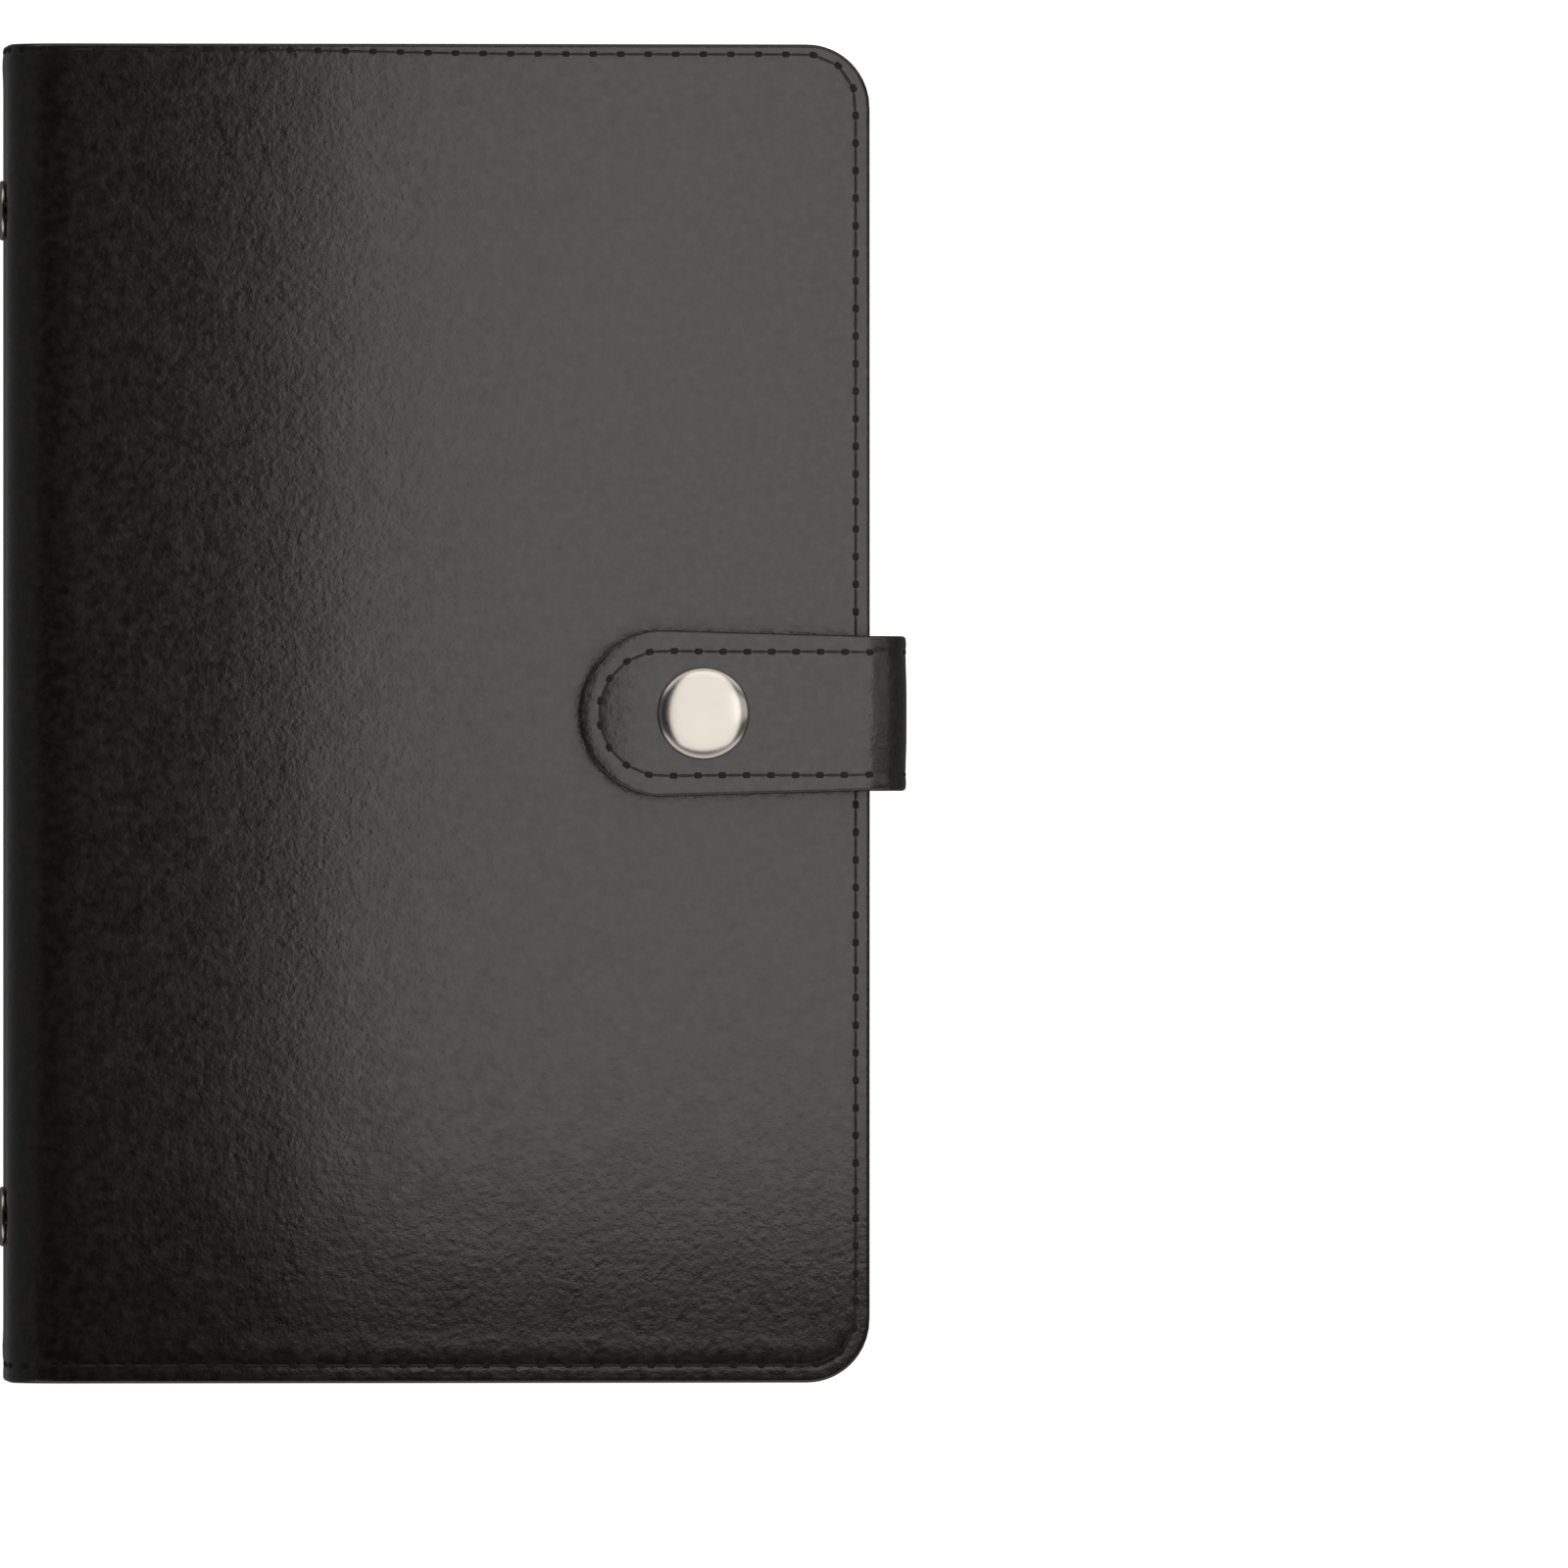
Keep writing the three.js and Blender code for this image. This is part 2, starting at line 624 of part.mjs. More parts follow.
// Clear envelope: two films welded on three sides and along the binding strip, open at its top
function envelope(i) {
  const dz = (i - (ENVELOPE_COUNT - 1) / 2) * ENVELOPE_PITCH;
  const slope = Math.asin(dz / RING_R);
  const wireHalf = WIRE_R / Math.cos(slope);
  const thick = 2 * FILM_T + ENVELOPE_SLIT;
  const lean = Math.abs(Math.tan(slope)) * thick / 2;
  const ringX = place([RING_CENTRE + RING_R * Math.cos(slope), 0])[0];
  const holeX = ringX + HOLE_R - wireHalf - lean - HOLE_REST_GAP;
  const z = MID_Z + dz;
  const x0 = holeX - HOLE_MARGIN;
  const x1 = x0 + ENVELOPE_WIDTH;
  const half = ENVELOPE_HEIGHT / 2;
  const shape = panel(x0, x1, -half, half, ENVELOPE_CORNER, 2);
  for (const y of RING_PLACES) {
    const hole = new THREE.Path();
    hole.absarc(holeX, y, HOLE_R, 0, 2 * Math.PI, true);
    shape.holes.push(hole);
  }
  const body = alongZ(shape, z - thick / 2, z + thick / 2, 6);
  const pocket = box(
    x0 + BINDING_WIDTH, x1 - ENVELOPE_WELD,
    -half + ENVELOPE_WELD, half + 1,
    z - ENVELOPE_SLIT / 2, z + ENVELOPE_SLIT / 2,
  );
  return body.subtract(pocket);
}

// Assembly
const wallet = new THREE.Group();
wallet.name = 'cash_envelope_wallet';

function add(name, solid, look, parent = wallet) {
  const mesh = new THREE.Mesh(geometryOf(solid), look(name));
  mesh.name = name;
  parent.add(mesh);
}

add('front_cover_leather', skinOf('front').subtract(studHole), leather);
add('front_cover_board', coverBoard(THICKNESS - boardDepth - BOARD_T).subtract(studHole), board);
add('front_cover_lining', liningOf('front').subtract(studHole), lining);
add('card_pocket_upper', cardPocket(0), lining);
add('card_pocket_lower', cardPocket(1), lining);
add('back_cover_leather', skinOf('back').subtract(tabSlot()), leather);
add('back_cover_board', coverBoard(boardDepth).subtract(tabSlot()), board);
add('back_cover_lining', liningOf('back').subtract(tabSlot()), lining);
add('spine_leather', rivetHoles(skinOf('spine')), leather);
add('spine_lining', rivetHoles(liningOf('spine')), lining);

const spineBoardHalf = MID_Z - SPINE_CURVE - 0.1;
const boardX = SPINE_X + boardDepth;
add('spine_board', rivetHoles(box(
  boardX, boardX + BOARD_T, -boardHalf, boardHalf, MID_Z - spineBoardHalf, MID_Z + spineBoardHalf,
)), board);

add('snap_stud', snapStud(), nickel);
add('snap_stud_backing', snapBacking(), nickel);
add('strap', strap(), leather);
add('snap_cap', snapCap(), nickel);
add('snap_socket', snapSocket(), nickel);

add('ring_plate', ringPlate(), nickel);
RIVET_PLACES.forEach((y, i) => add(`plate_rivet_${i + 1}`, rivet(y), nickel));
add('ring_blade_front', blade(1), nickel);
add('ring_blade_back', blade(-1), nickel);
RING_PLACES.forEach((y, i) => {
  add(`half_ring_front_${i + 1}`, halfRing(1, y), nickel);
  add(`half_ring_back_${i + 1}`, halfRing(-1, y), nickel);
});
add('opening_lever_top', lever(1), nickel);
add('opening_lever_bottom', lever(-1), nickel);

for (let i = 0; i < ENVELOPE_COUNT; i += 1) {
  add(`envelope_${i + 1}`, envelope(i), clearFilm);
}

export default wallet;
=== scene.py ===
import math

import bmesh
import bpy
import numpy as np
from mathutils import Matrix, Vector


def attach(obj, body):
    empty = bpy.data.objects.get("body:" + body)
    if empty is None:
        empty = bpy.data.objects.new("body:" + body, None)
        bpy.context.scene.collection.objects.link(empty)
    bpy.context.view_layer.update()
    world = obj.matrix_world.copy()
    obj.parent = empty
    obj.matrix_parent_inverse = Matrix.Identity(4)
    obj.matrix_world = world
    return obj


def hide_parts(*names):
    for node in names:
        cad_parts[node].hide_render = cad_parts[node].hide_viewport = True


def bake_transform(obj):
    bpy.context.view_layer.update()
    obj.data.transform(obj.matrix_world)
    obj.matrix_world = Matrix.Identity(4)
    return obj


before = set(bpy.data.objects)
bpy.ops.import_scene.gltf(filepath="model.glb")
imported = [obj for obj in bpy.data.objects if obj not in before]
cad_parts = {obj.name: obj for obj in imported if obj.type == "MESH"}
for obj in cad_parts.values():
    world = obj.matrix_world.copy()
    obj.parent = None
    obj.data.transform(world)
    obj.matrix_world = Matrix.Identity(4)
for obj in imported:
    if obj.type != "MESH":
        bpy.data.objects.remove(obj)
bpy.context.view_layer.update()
MM = 0.001

# Jacket sizes, in millimetres, as in part.mjs
HEIGHT, WIDTH, THICK = 190.0, 122.3, 30.0
CURVE, CORNER = 8.2, 9.0
SPINE_X, FORE_X = -WIDTH / 2, WIDTH / 2
CURVE_X = SPINE_X + CURVE
MID_Z = THICK / 2
SKIN = 1.75
LINING_FROM, LINING_TO = 1.8, 2.6
LINING_INSET = 0.3
RUN_UP = MID_Z - CURVE
RUN_CURVE = math.pi * CURVE / 2
RUN_FLAT = FORE_X - CURVE_X
RUN = RUN_UP + RUN_CURVE + RUN_FLAT

# Seams: margin from the edge at the foot and the fore-edge, and length of a stitch with its gap
FOOT_MARGIN, SIDE_MARGIN = 2.5, 2.05
STITCH, STRAP_STITCH = 3.93, 3.5
STITCH_LIFT, STITCH_GAP = 0.03, 1.0

# Strap and snap
STRAP_REACH, STRAP_OUTSTAND, STRAP_LIFT = 41.5, 5.4, 2.55
STRAP_HALF_T, TAB_HALF_T = 0.8, 0.325
STRAP_TIP_R, STRAP_FOLD_HALF = 11.8, 11.0
LOW_BEND, HIGH_BEND = 3.8, 6.2
TIP_DROP = 1.5
TAB_DEPTH = 7.8
TAB_Z = 1.325
TIP_X = FORE_X - STRAP_REACH
SNAP_X = TIP_X + 17.5
STRAP_FACE = FORE_X + STRAP_OUTSTAND - STRAP_HALF_T
STRAP_MID = THICK + STRAP_LIFT + STRAP_HALF_T
STRAP_TOP = STRAP_MID + STRAP_HALF_T
CAP_R, CAP_RISE = 6.55, 1.98
CAP_POST_R, CAP_POST = 1.45, 1.7

# Ring mechanism
RINGS = [-63.5, -44.5, -25.5, 25.5, 44.5, 63.5]
LAYER_GAP = 0.15
RING_X = SPINE_X + LINING_TO + LAYER_GAP + 10.7
RING_R, WIRE_R, RING_SWEEP = 9.2, 1.29, math.radians(125)
RING_FOOT = SPINE_X + 2.75 + 1.2
RIVETS = [-71.5, 71.5]
RIVET_R, RIVET_RISE = 4.25, 1.3
METAL_LIFT = 0.03


class Wire:
    """A node socket that adds, multiplies and mixes like a number."""

    def __init__(self, tree, socket):
        self.tree, self.socket = tree, socket

    def _math(self, operation, a, b):
        return node(self.tree, "ShaderNodeMath", {0: a, 1: b}, operation=operation)

    def __add__(self, other):
        return self._math("ADD", self, other)

    def __mul__(self, other):
        return self._math("MULTIPLY", self, other)

    def __pow__(self, other):
        return self._math("POWER", self, other)

    __radd__, __rmul__ = __add__, __mul__

    def stretch(self, low, high):
        """0 below low, 1 above high, smooth between."""
        return node(self.tree, "ShaderNodeMapRange", {0: self, 1: low, 2: high},
                    interpolation_type="SMOOTHSTEP")

    def mix(self, a, b):
        """Colour a where this is 0, colour b where it is 1."""
        made = self.tree.nodes.new("ShaderNodeMix")
        made.data_type = "RGBA"
        plug(self.tree, made.inputs[0], self)
        plug(self.tree, made.inputs[6], a)
        plug(self.tree, made.inputs[7], b)
        return Wire(self.tree, made.outputs[2])


def plug(tree, socket, value):
    """Link or set one input socket."""
    if isinstance(value, Wire):
        tree.links.new(value.socket, socket)
    elif isinstance(value, (tuple, list)) and len(value) == 3 and socket.type == "RGBA":
        socket.default_value = (*value, 1)
    else:
        socket.default_value = value


def node(tree, kind, values=None, out=0, **settings):
    """A node with its settings, then the values or links of its sockets."""
    made = tree.nodes.new(kind)
    for name, setting in settings.items():
        setattr(made, name, setting)
    for key, value in (values or {}).items():
        plug(tree, made.inputs[key], value)
    return Wire(tree, made.outputs[out])


def material(name, colour, roughness, metallic=0.0, bump=None, **constants):
    """A Principled material. Colour, roughness and bump may be functions of tree and place."""
    made = bpy.data.materials.new(name)
    made.use_nodes = True
    tree = made.node_tree
    shader = tree.nodes["Principled BSDF"]
    place = node(tree, "ShaderNodeTexCoord", out="Object")
    for key, value in (("Base Color", colour), ("Roughness", roughness), ("Metallic", metallic)):
        plug(tree, shader.inputs[key], value(tree, place) if callable(value) else value)
    if bump:
        height, distance, strength = bump(tree, place)
        shaped = node(tree, "ShaderNodeBump", {"Height": height, "Distance": distance, "Strength": strength})
        plug(tree, shader.inputs["Normal"], shaped)
    for key, value in constants.items():
        plug(tree, shader.inputs[key.replace("_", " ")], value)
    return made


def noise(tree, place, scale, detail=3.0, rough=0.55):
    return node(tree, "ShaderNodeTexNoise",
                {"Vector": place, "Scale": scale, "Detail": detail, "Roughness": rough})


def cells(tree, place, scale):
    return node(tree, "ShaderNodeTexVoronoi", {"Vector": place, "Scale": scale})


# Leather: fine pebbled grain over a wider swell, with cloudy patches and small flecks
def leather_bump(tree, place):
    pebble = noise(tree, place, 850, 2, 0.65)
    swell = noise(tree, place, 150, 0)
    return pebble + swell * 0.9, 0.00014, 0.55


def leather_colour(tree, place):
    cloud = noise(tree, place, 26, 1).stretch(0.35, 0.68)
    fleck = noise(tree, place, 800, 1).stretch(0.34, 0.74)
    tone = cloud.mix((0.0060, 0.0060, 0.0056), (0.0088, 0.0084, 0.0080))
    return fleck.mix(tone, (0.0165, 0.0156, 0.0146))


def leather_rough(tree, place):
    return noise(tree, place, 620, 1) * 0.24 + 0.17


leather = material("black_leather", leather_colour, leather_rough, bump=leather_bump, Specular_IOR_Level=0.7)


def lining_bump(tree, place):
    return noise(tree, place, 1400, 4, 0.6) + cells(tree, place, 900) * 0.5, 0.00006, 0.4


lining = material(
    "black_lining",
    lambda t, p: noise(t, p, 40, 3).mix((0.009, 0.009, 0.010), (0.017, 0.017, 0.018)),
    lambda t, p: noise(t, p, 300, 3) * 0.2 + 0.5, bump=lining_bump,
)
thread = material(
    "black_thread",
    lambda t, p: noise(t, p, 3000, 2).mix((0.003, 0.003, 0.003), (0.012, 0.0115, 0.011)),
    0.75, bump=lambda t, p: (noise(t, p, 5200, 2), 0.00008, 0.6),
)
# Needle holes are not cut into the leather: dark marks sit over the seams where they are, painted shade of the
# holes.
painted_hole_shade = material(
    "needle_hole_painted_shade",
    lambda t, p: noise(t, p, 2500, 1).mix((0.0012, 0.0012, 0.0012), (0.004, 0.004, 0.004)), 0.9,
)
nickel = material(
    "polished_nickel",
    lambda t, p: noise(t, p, 120, 3).mix((0.49, 0.465, 0.435), (0.56, 0.54, 0.51)),
    lambda t, p: noise(t, p, 700, 3, 0.7) * 0.10 + 0.17, 1.0,
    bump=lambda t, p: (noise(t, p, 260, 2), 0.00003, 0.15),
)
board = material(
    "grey_board",
    lambda t, p: noise(t, p, 900, 4).mix((0.20, 0.18, 0.15), (0.33, 0.30, 0.26)), 0.9,
    bump=lambda t, p: (noise(t, p, 1200, 4), 0.0001, 0.5),
)
film = material(
    "clear_film",
    lambda t, p: noise(t, p, 18, 2).mix((0.86, 0.90, 0.93), (0.93, 0.95, 0.96)),
    lambda t, p: noise(t, p, 45, 3) * 0.16 + 0.05,
    bump=lambda t, p: (noise(t, p, 14, 3), 0.0016, 0.5),
    Transmission_Weight=0.92, IOR=1.35,
)


SHARP = math.radians(55)


def mesh_piece(name, verts, faces, look, smooth=True):
    """A mesh object from points in millimetres. A smooth one gets its faces outward and its sharp edges kept."""
    data = bpy.data.meshes.new(name)
    data.from_pydata([tuple(MM * c for c in v) for v in verts], [], faces)
    data.validate()
    if smooth:
        shell = bmesh.new()
        shell.from_mesh(data)
        bmesh.ops.recalc_face_normals(shell, faces=shell.faces)
        shell.to_mesh(data)
        shell.free()
        data.shade_smooth()
        data.set_sharp_from_angle(angle=SHARP)
    data.materials.append(look)
    made = bpy.data.objects.new(name, data)
    bpy.context.scene.collection.objects.link(made)
    return made


def closed_sheet(outer, inner):
    """Faces and points of a solid sheet between two grids of points with the same rows and columns."""
    rows, columns = len(outer), len(outer[0])
    verts = [p for grid in (outer, inner) for row in grid for p in row]
    at = lambda side, r, c: (side * rows + r) * columns + c
    faces = []
    for r in range(rows - 1):
        for c in range(columns - 1):
            faces.append((at(0, r, c), at(0, r, c + 1), at(0, r + 1, c + 1), at(0, r + 1, c)))
            faces.append((at(1, r, c), at(1, r + 1, c), at(1, r + 1, c + 1), at(1, r, c + 1)))
    rim = ([(0, c) for c in range(columns - 1)] + [(r, columns - 1) for r in range(rows - 1)]
           + [(rows - 1, c) for c in range(columns - 1, 0, -1)] + [(r, 0) for r in range(rows - 1, 0, -1)])
    for (r0, c0), (r1, c1) in zip(rim, rim[1:] + rim[:1]):
        faces.append((at(0, r1, c1), at(0, r0, c0), at(1, r0, c0), at(1, r1, c1)))
    return verts, faces


def graded(length, fine, step):
    """Places from 0 to length: the fine ones first, then even steps."""
    count = max(1, round((length - fine[-1]) / step))
    return fine + [fine[-1] + (length - fine[-1]) * (i + 1) / count for i in range(count)]


EDGE = [0, 0.08, 0.2, 0.4, 0.65, 0.9, 1.15, 1.4, 1.65, 1.9, 2.15, 2.4, 2.65, 2.9, 3.3, 4.0, 5.0, 6.2, 7.6, 9.2]


def wall_point(s, depth):
    """X and Z on the front half of the jacket, s along its outer face from the middle of the spine."""
    if s < RUN_UP:
        return SPINE_X + depth, MID_Z + s
    if s < RUN_UP + RUN_CURVE:
        a = (s - RUN_UP) / CURVE
        return CURVE_X - (CURVE - depth) * math.cos(a), THICK - CURVE + (CURVE - depth) * math.sin(a)
    return CURVE_X + s - RUN_UP - RUN_CURVE, THICK - depth


def smooth_step(x, low, high):
    """0 below low, 1 above high, smooth between."""
    t = min(1.0, max(0.0, (x - low) / (high - low)))
    return t * t * (3 - 2 * t)


def from_edge(s, y):
    """Distance from the jacket's outline, which has rounded corners at the fore-edge."""
    dx, dy = RUN - s, HEIGHT / 2 - abs(y)
    if dx < CORNER and dy < CORNER:
        return CORNER - math.hypot(CORNER - dx, CORNER - dy)
    return min(dx, dy)


def head_margin(s):
    """The top seam runs closer to the edge near the spine."""
    return 0.85 + 0.6 * smooth_step(s, RUN - 95, RUN - 45)


def seam_margin(s, y):
    """How far in from the edge the seam runs: close at the top, wider at the foot."""
    side = smooth_step(s, RUN - 14, RUN - 5)
    end = head_margin(s) if y > 0 else FOOT_MARGIN
    return end + (SIDE_MARGIN - end) * side * (1 - smooth_step(abs(y), HEIGHT / 2 - 12, HEIGHT / 2 - 3) * 0.4)


def puckers(s, y):
    """Small dips in the leather along the seam."""
    along = s if HEIGHT / 2 - abs(y) < RUN - s else y
    return 0.03 * (1 + math.cos(2 * math.pi * (along / STITCH)))


def rolled(d, roll):
    """How far a rounded edge falls away at distance d from it."""
    return roll - math.sqrt(max(0.0, roll * roll - (roll - min(d, roll)) ** 2))


def skin_depth(s, y):
    """How far the leather lies under the jacket's outer face: rolled edge, seam groove and slight crown."""
    d = from_edge(s, y)
    edge = rolled(d, 0.6)
    off = d - seam_margin(s, y)
    groove = (0.05 + puckers(s, y)) * math.exp(-(off / 0.5) ** 2)
    pillow = 0.10 * math.exp(-((off - 2.2) / 1.6) ** 2)
    flat_from = RUN_UP + RUN_CURVE
    crown = 0.35 * (1 - smooth_step(s, flat_from, flat_from + 42)) * smooth_step(s, RUN_UP, flat_from)
    settle = 0.22 * (1 - math.cos(math.pi * (y / HEIGHT * 2))) / 2
    return edge + groove + crown + settle * smooth_step(s, RUN_UP + 4, RUN_UP + 40) + 0.10 - pillow


def jacket_half(name, look, outer_depth, inner, inset, step):
    """One half of the jacket or its lining, from the middle of the spine to the fore-edge."""
    ys = graded(HEIGHT / 2 - inset, EDGE, step)
    rows = [-(HEIGHT / 2 - inset) + d for d in ys] + [HEIGHT / 2 - inset - d for d in reversed(ys[:-1])]
    cols = list(reversed(graded(RUN - inset, EDGE, step)))
    near = 24.0  # within this of the fore-edge the columns follow the rounded corner
    radius = CORNER - inset
    outer, under = [], []
    for y in rows:
        e = max(0.0, abs(y) - (HEIGHT / 2 - inset - radius))
        cut = radius - math.sqrt(max(0.0, radius * radius - e * e))
        top, bottom = [], []
        for d in cols:
            s = RUN - inset - cut - d
            if d >= near:
                s = (RUN - inset - d) * (RUN - inset - cut - near) / (RUN - inset - near)
            x, z = wall_point(s, outer_depth(s, y))
            top.append((x, y, z))
            x, z = wall_point(s, inner)
            bottom.append((x, y, z))
        outer.append(top)
        under.append(bottom)
    verts, faces = closed_sheet(outer, under)
    return mesh_piece(name, verts, faces, look)


def mirrored(made, name):
    """A copy of a front piece, turned over to make the back one."""
    data = made.data.copy()
    data.name = name
    for v in data.vertices:
        v.co.z = THICK * MM - v.co.z
    data.flip_normals()
    other = bpy.data.objects.new(name, data)
    bpy.context.scene.collection.objects.link(other)
    return other


def fold_with(front, back):
    """Bake both halves' placement into their meshes."""
    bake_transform(front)
    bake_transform(back)


front_skin = jacket_half("jacket_front", leather, skin_depth, SKIN, 0.0, 1.9)
back_skin = mirrored(front_skin, "jacket_back")
front_lining = jacket_half("lining_front", lining, lambda s, y: LINING_FROM, LINING_TO, LINING_INSET, 3.2)
back_lining = mirrored(front_lining, "lining_back")


def capsules(name, ends, normals, width, height, look):
    """Short capsules lying between pairs of points: stitches, and the dark marks of painted needle-hole shade."""
    verts, faces = [], []
    sides = 8
    shape = [(-1.0, 0.0), (-0.86, 0.62), (-0.45, 0.95), (0.45, 0.95), (0.86, 0.62), (1.0, 0.0)]
    for (a, b), n in zip(ends, normals):
        a, b, n = Vector(a), Vector(b), Vector(n).normalized()
        along = (b - a) / 2
        across = along.cross(n).normalized()
        first = len(verts)
        for t, size in shape:
            for k in range(sides):
                angle = 2 * math.pi * k / sides
                size_here = max(size, 0.02)
                p = (a + b) / 2 + along * t + across * (width / 2 * size_here * math.cos(angle))
                verts.append(tuple(p + n * (height / 2 * size_here * math.sin(angle))))
        for ring in range(len(shape) - 1):
            for k in range(sides):
                i, j = first + ring * sides + k, first + ring * sides + (k + 1) % sides
                faces.append((i, j, j + sides, i + sides))
        faces.append(tuple(first + k for k in reversed(range(sides))))
        faces.append(tuple(first + (len(shape) - 1) * sides + k for k in range(sides)))
    return mesh_piece(name, verts, faces, look)


def even_points(line, pitch):
    """Points every pitch along a line of points, with the last one kept."""
    points = [Vector(p) for p in line]
    lengths = np.cumsum([0.0] + [(b - a).length for a, b in zip(points, points[1:])])
    count = max(2, round(lengths[-1] / pitch))
    out = []
    for target in np.linspace(0, lengths[-1], count + 1):
        i = min(len(points) - 2, int(np.searchsorted(lengths, target, side="right")) - 1)
        part = (target - lengths[i]) / max(1e-9, lengths[i + 1] - lengths[i])
        out.append(points[i].lerp(points[i + 1], part))
    return out


def sewn(name, knots):
    """Thread along knots, each a place and its outward direction, with a dark mark at each knot as painted shade
    of the needle holes.
    """
    places = [Vector(p) + Vector(n).normalized() * STITCH_LIFT for p, n in knots]
    outward = [n for _, n in knots]
    ends = []
    for a, b in zip(places, places[1:]):
        gap = (b - a).normalized() * STITCH_GAP / 2
        ends.append((a + gap, b - gap))
    threads = capsules(name + "_thread", ends, outward, 0.42, 0.30, thread)
    # A dark mark at each knot: painted shade where a needle hole would be.
    hole_shade_marks = []
    for i, p in enumerate(places):
        way = (places[min(i + 1, len(places) - 1)] - places[max(i - 1, 0)]).normalized() * 0.62
        hole_shade_marks.append((p - way, p + way))
    return threads, capsules(name + "_holes", hole_shade_marks, outward, 0.98, 0.24, painted_hole_shade)


def seam_knots():
    """Knots of the three-sided seam on the front half: the place on the skin and the way out."""
    flat = []
    y1, y0 = HEIGHT / 2 - head_margin(RUN), -HEIGHT / 2 + FOOT_MARGIN
    x1 = RUN - SIDE_MARGIN
    r = CORNER - 2.2
    for s in np.arange(0.5, x1 - r, 0.8):
        flat.append((s, HEIGHT / 2 - head_margin(s)))
    for a in np.linspace(math.pi / 2, 0, 16):
        flat.append((x1 - r + r * math.cos(a), y1 - r + r * math.sin(a)))
    for y in np.arange(y1 - r, y0 + r, -0.8):
        flat.append((x1, y))
    for a in np.linspace(0, -math.pi / 2, 16):
        flat.append((x1 - r + r * math.cos(a), y0 + r + r * math.sin(a)))
    for s in np.arange(x1 - r, 0.5, -0.8):
        flat.append((s, y0))
    knots = []
    for p in even_points([(s, y, 0) for s, y in flat], STITCH):
        x, z = wall_point(p.x, skin_depth(p.x, p.y))
        ox, oz = wall_point(p.x, -1.0)
        ix, iz = wall_point(p.x, 0.0)
        knots.append(((x, p.y, z), (ox - ix, 0, oz - iz)))
    return knots


# The front seam's thread and its dark marks of painted hole shade, mirrored for the back.
front_thread, front_hole_shade = sewn("jacket_front_seam", seam_knots())
back_thread = mirrored(front_thread, "jacket_back_seam_thread")
back_hole_shade = mirrored(front_hole_shade, "jacket_back_seam_holes")
for front, back, slot in (
    (front_skin, back_skin, "cover_leather"), (front_lining, back_lining, "cover_lining"),
    (front_thread, back_thread, "cover_leather"), (front_hole_shade, back_hole_shade, "cover_leather"),
):
    fold_with(front, back)
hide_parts("front_cover_leather", "spine_leather")
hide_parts("back_cover_leather")
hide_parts("front_cover_lining", "spine_lining")
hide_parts("back_cover_lining")


# Strap
def arc(cx, cz, r, start, stop, steps):
    """Points in X and Z along an arc between two angles in degrees."""
    angles = [math.radians(start + (stop - start) * i / steps) for i in range(steps + 1)]
    return [(cx + r * math.cos(a), cz + r * math.sin(a)) for a in angles]


def strap_line():
    """The strap's middle in X and Z, from its tip to the tab sewn into the back cover."""
    droop_from = SNAP_X - 6.8
    droop = [(TIP_X + (droop_from - TIP_X) * t, STRAP_MID - TIP_DROP * (1 - t) ** 1.6)
             for t in np.linspace(0, 1, 12)]
    high = arc(STRAP_FACE - HIGH_BEND, STRAP_MID - HIGH_BEND, HIGH_BEND, 90, 0, 14)
    low = arc(STRAP_FACE - LOW_BEND, TAB_Z + LOW_BEND, LOW_BEND, 0, -90, 12)
    return droop + high + low + [(FORE_X - TAB_DEPTH, TAB_Z)]


STRAP_PATH = [Vector((x, 0, z)) for x, z in strap_line()]
STRAP_RUNS = np.cumsum([0.0] + [(b - a).length for a, b in zip(STRAP_PATH, STRAP_PATH[1:])])
STRAP_RUN = float(STRAP_RUNS[-1])
FOLD_AT = FORE_X - TIP_X


def strap_middle(q):
    """X and Z of the strap's middle at run q from its tip."""
    return [float(np.interp(q, STRAP_RUNS, [p[axis] for p in STRAP_PATH])) for axis in (0, 2)]


def strap_at(q):
    """The place and the outward direction at run q from the strap's tip."""
    q = min(max(q, 0.0), STRAP_RUN)
    x, z = strap_middle(q)
    (xa, za), (xb, zb) = strap_middle(max(0.0, q - 0.6)), strap_middle(min(STRAP_RUN, q + 0.6))
    return Vector((x, 0, z)), Vector((za - zb, 0, xb - xa)).normalized()


def strap_half(q):
    """Half the strap's width: a round tip, then a slight taper to the fold."""
    if q < STRAP_TIP_R:
        return math.sqrt(max(0.0, STRAP_TIP_R ** 2 - (STRAP_TIP_R - q) ** 2))
    taper = min(1.0, (q - STRAP_TIP_R) / (FOLD_AT - STRAP_TIP_R))
    return STRAP_TIP_R + (STRAP_FOLD_HALF - STRAP_TIP_R) * taper


def strap_from_edge(q, w):
    """Distance from the strap's outline, at run q and w across."""
    if q < STRAP_TIP_R:
        return STRAP_TIP_R - math.hypot(STRAP_TIP_R - q, w)
    return strap_half(q) - abs(w)


def strap_margin(q):
    """How far in from the edge the strap's seam runs."""
    return 2.9 - 0.6 * smooth_step(q, 12, 44)


def strap_surface(q, w, side):
    """A point on the strap's outer (side 1) or inner (side -1) face."""
    d = max(0.0, strap_from_edge(q, w))
    thin = smooth_step(q, STRAP_RUN - 9.5, STRAP_RUN - 7.8)
    half = STRAP_HALF_T - (STRAP_HALF_T - TAB_HALF_T) * thin
    edge = rolled(d, min(0.55, half))
    off = d - strap_margin(q)
    groove = 0.08 * math.exp(-(off / 0.5) ** 2) * (1 - thin) * (1.0 if side > 0 else 0.3)
    bulge = 0.12 * smooth_step(d, 3.0, 8.0) * (1 - thin) * (1 if side > 0 else 0)
    lip = 0.05 * math.exp(-((d - 1.4) / 0.8) ** 2)
    place, out = strap_at(q)
    return place + out * side * (half - edge - groove - 0.12 + bulge + lip) + Vector((0, w, 0))


